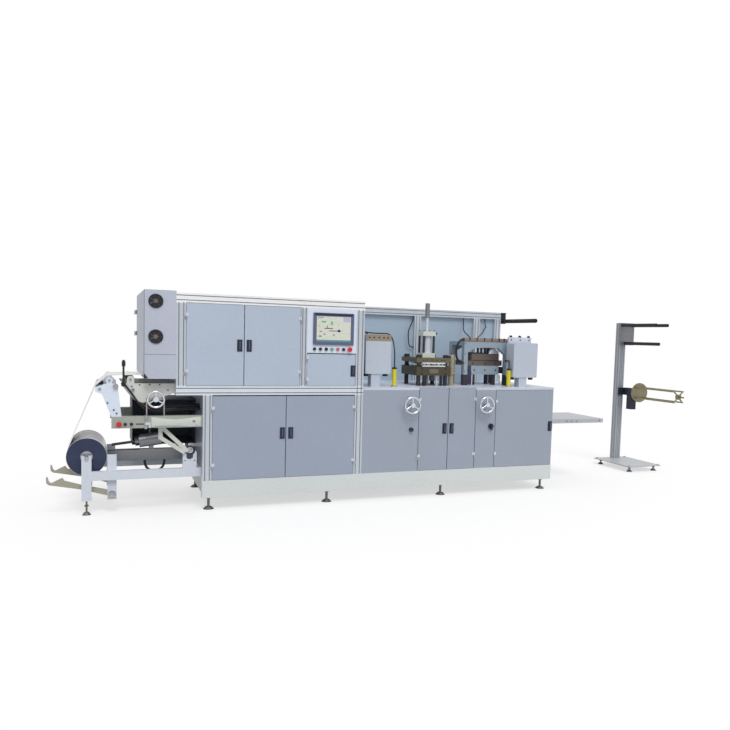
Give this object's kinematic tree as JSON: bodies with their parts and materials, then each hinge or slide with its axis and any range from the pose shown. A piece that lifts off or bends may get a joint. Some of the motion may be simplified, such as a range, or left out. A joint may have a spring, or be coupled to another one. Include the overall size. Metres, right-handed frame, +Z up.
{
  "type": "lid forming machine",
  "caption": "Packaging line machine that unwinds plastic film, heats it, forms and cuts lids at pressing stations and rewinds the scrap on a separate stand.",
  "frame": {"origin": "centre of the footprint at floor level, between the hooks of the lift arms and the end of the rewinder's base", "axes": "+X along the machine from the film roll to the rewinder, +Y away from the operator, +Z up"},
  "size_m": [6.907, 1.388, 1.935],
  "materials": {
    "black_plastic": "matt",
    "box_paint": "satin paint",
    "brass_plate": "passivated",
    "cast_paint": "satin paint",
    "chrome": "polished",
    "cream_paint": "satin paint",
    "dark_steel": "dull",
    "door_paint": "satin paint",
    "film": "gloss",
    "foot_black": "matt",
    "frame_paint": "satin paint",
    "olive_steel": "ground",
    "painted_plinth": "satin paint",
    "profile": "anodised",
    "red_plastic": "gloss",
    "roller_black": "matt",
    "slate_plastic": "gloss",
    "steel": "ground",
    "yellow_paint": "gloss paint"
  },
  "bodies": {
    "frame": {"back_frame": "profile", "base_plinth": "painted_plinth", "cabinet_panels": "door_paint", "control_buttons": "black_plastic", "cross_beams": "profile", "deck_plate": "frame_paint", "diagonal_braces": "cream_paint", "door_hinges": "steel", "emergency_stops": "red_plastic", "fan_guards": "black_plastic", "feed_housing": "dark_steel", "forming_dies": "steel", "forming_gantry": "cast_paint", "front_frame": "profile", "front_panels": "door_paint", "guide_towers": "door_paint", "heater_box": "box_paint", "infeed_beams": "cream_paint", "leveling_feet": "foot_black", "lift_drive": "steel", "output_table": "frame_paint", "press_cylinder": "cream_paint", "press_frame": "olive_steel", "rewind_drive": "dark_steel", "rewind_stand": "profile", "right_cabinet": "box_paint", "roller_clamps": "steel", "safety_tubes": "yellow_paint", "side_plates": "cream_paint", "station_covers": "box_paint", "touch_screen": "slate_plastic", "unwind_frame": "frame_paint", "wheel_bracket": "steel"},
    "lower_door_left": {"lower_door_left": "door_paint"},
    "lower_door_right": {"lower_door_right": "door_paint"},
    "upper_door_left": {"upper_door_left": "door_paint"},
    "upper_door_right": {"upper_door_right": "door_paint"},
    "small_door": {"small_door": "door_paint"},
    "right_door_left": {"right_door_left": "door_paint"},
    "right_door_right": {"right_door_right": "door_paint"},
    "end_door": {"end_door": "door_paint"},
    "handwheel_left": {"handwheel_left": "chrome"},
    "handwheel_right": {"handwheel_right": "chrome"},
    "infeed_handwheel": {"infeed_handwheel": "chrome"},
    "panel_knob": {"panel_knob": "black_plastic"},
    "film_roll": {"film_roll": "film", "roll_shaft": "steel"},
    "guide_roller": {"guide_roller": "roller_black"},
    "guide_roller_top": {"guide_roller_top": "chrome"},
    "entry_roller": {"entry_roller": "roller_black"},
    "web_roller": {"web_roller": "roller_black"},
    "rewind_idler_left": {"rewind_idler_left": "roller_black"},
    "rewind_idler_right": {"rewind_idler_right": "roller_black"},
    "rewind_idler_lower": {"rewind_idler_lower": "roller_black"},
    "rewind_spool": {"rewind_spool": "brass_plate"},
    "lift_arms": {"lift_arms": "olive_steel"},
    "switch_knob": {"switch_knob": "black_plastic"},
    "press_platen": {"press_platen": "steel"}
  },
  "joints": [
    {"name": "lower_door_left_hinge", "type": "hinge", "parent": "frame", "child": "lower_door_left", "pos_m": [-2.1295, -0.613, 0.64], "axis": [0, 0, -1], "range_deg": [0, 110]},
    {"name": "lower_door_right_hinge", "type": "hinge", "parent": "frame", "child": "lower_door_right", "pos_m": [-0.8135, -0.613, 0.64], "axis": [0, 0, 1], "range_deg": [0, 110]},
    {"name": "upper_door_left_hinge", "type": "hinge", "parent": "frame", "child": "upper_door_left", "pos_m": [-2.3555, -0.613, 1.461], "axis": [0, 0, -1], "range_deg": [0, 110]},
    {"name": "upper_door_right_hinge", "type": "hinge", "parent": "frame", "child": "upper_door_right", "pos_m": [-1.3475, -0.613, 1.461], "axis": [0, 0, 1], "range_deg": [0, 90]},
    {"name": "small_door_hinge", "type": "hinge", "parent": "frame", "child": "small_door", "pos_m": [-1.2875, -0.613, 1.2525], "axis": [0, 0, -1], "range_deg": [0, 90]},
    {"name": "right_door_left_hinge", "type": "hinge", "parent": "frame", "child": "right_door_left", "pos_m": [-0.1475, -0.613, 0.679], "axis": [0, 0, -1], "range_deg": [0, 90]},
    {"name": "right_door_right_hinge", "type": "hinge", "parent": "frame", "child": "right_door_right", "pos_m": [0.4825, -0.613, 0.679], "axis": [0, 0, 1], "range_deg": [0, 90]},
    {"name": "end_door_hinge", "type": "hinge", "parent": "frame", "child": "end_door", "pos_m": [0.7145, -0.613, 0.6655], "axis": [0, 0, -1], "range_deg": [0, 110]},
    {"name": "handwheel_left_spin", "type": "hinge", "parent": "frame", "child": "handwheel_left", "pos_m": [-0.2465, -0.606, 0.922], "axis": [0, 1, 0], "continuous": true},
    {"name": "handwheel_right_spin", "type": "hinge", "parent": "frame", "child": "handwheel_right", "pos_m": [0.5735, -0.606, 0.92], "axis": [0, 1, 0], "continuous": true},
    {"name": "infeed_handwheel_spin", "type": "hinge", "parent": "frame", "child": "infeed_handwheel", "pos_m": [-2.5985, -0.606, 0.988], "axis": [0, 1, 0], "continuous": true},
    {"name": "panel_knob_spin", "type": "hinge", "parent": "frame", "child": "panel_knob", "pos_m": [-0.2295, -0.606, 0.679], "axis": [0, 1, 0], "continuous": true},
    {"name": "film_roll_spin", "type": "hinge", "parent": "frame", "child": "film_roll", "pos_m": [-3.1435, -0.435, 0.486], "axis": [0, 1, 0], "continuous": true},
    {"name": "guide_roller_spin", "type": "hinge", "parent": "frame", "child": "guide_roller", "pos_m": [-3.0415, -0.606, 1.075], "axis": [0, 1, 0], "continuous": true},
    {"name": "guide_roller_top_spin", "type": "hinge", "parent": "frame", "child": "guide_roller_top", "pos_m": [-2.9665, -0.606, 1.148], "axis": [0, 1, 0], "continuous": true},
    {"name": "entry_roller_spin", "type": "hinge", "parent": "frame", "child": "entry_roller", "pos_m": [-2.7975, -0.606, 1.15], "axis": [0, 1, 0], "continuous": true},
    {"name": "web_roller_spin", "type": "hinge", "parent": "frame", "child": "web_roller", "pos_m": [1.3805, -0.606, 1.8], "axis": [0, 1, 0], "continuous": true},
    {"name": "rewind_idler_left_spin", "type": "hinge", "parent": "frame", "child": "rewind_idler_left", "pos_m": [3.1965, -0.606, 1.815], "axis": [0, 1, 0], "continuous": true},
    {"name": "rewind_idler_right_spin", "type": "hinge", "parent": "frame", "child": "rewind_idler_right", "pos_m": [3.3725, -0.606, 1.815], "axis": [0, 1, 0], "continuous": true},
    {"name": "rewind_idler_lower_spin", "type": "hinge", "parent": "frame", "child": "rewind_idler_lower", "pos_m": [3.2515, -0.606, 1.584], "axis": [0, 1, 0], "continuous": true},
    {"name": "rewind_spool_spin", "type": "hinge", "parent": "frame", "child": "rewind_spool", "pos_m": [3.3305, -0.606, 0.96], "axis": [0, 1, 0], "continuous": true},
    {"name": "lift_arms_hinge", "type": "hinge", "parent": "frame", "child": "lift_arms", "pos_m": [-2.9435, -0.606, 0.16], "axis": [0, 1, 0], "range_deg": [-6, 30]},
    {"name": "switch_turn", "type": "hinge", "parent": "frame", "child": "switch_knob", "pos_m": [0.6605, -0.606, 0.694], "axis": [0, 1, 0], "range_deg": [0, 90]},
    {"name": "press_stroke", "type": "slide", "parent": "frame", "child": "press_platen", "axis": [0, 0, -1], "range_m": [0, 0.016]}
  ]
}
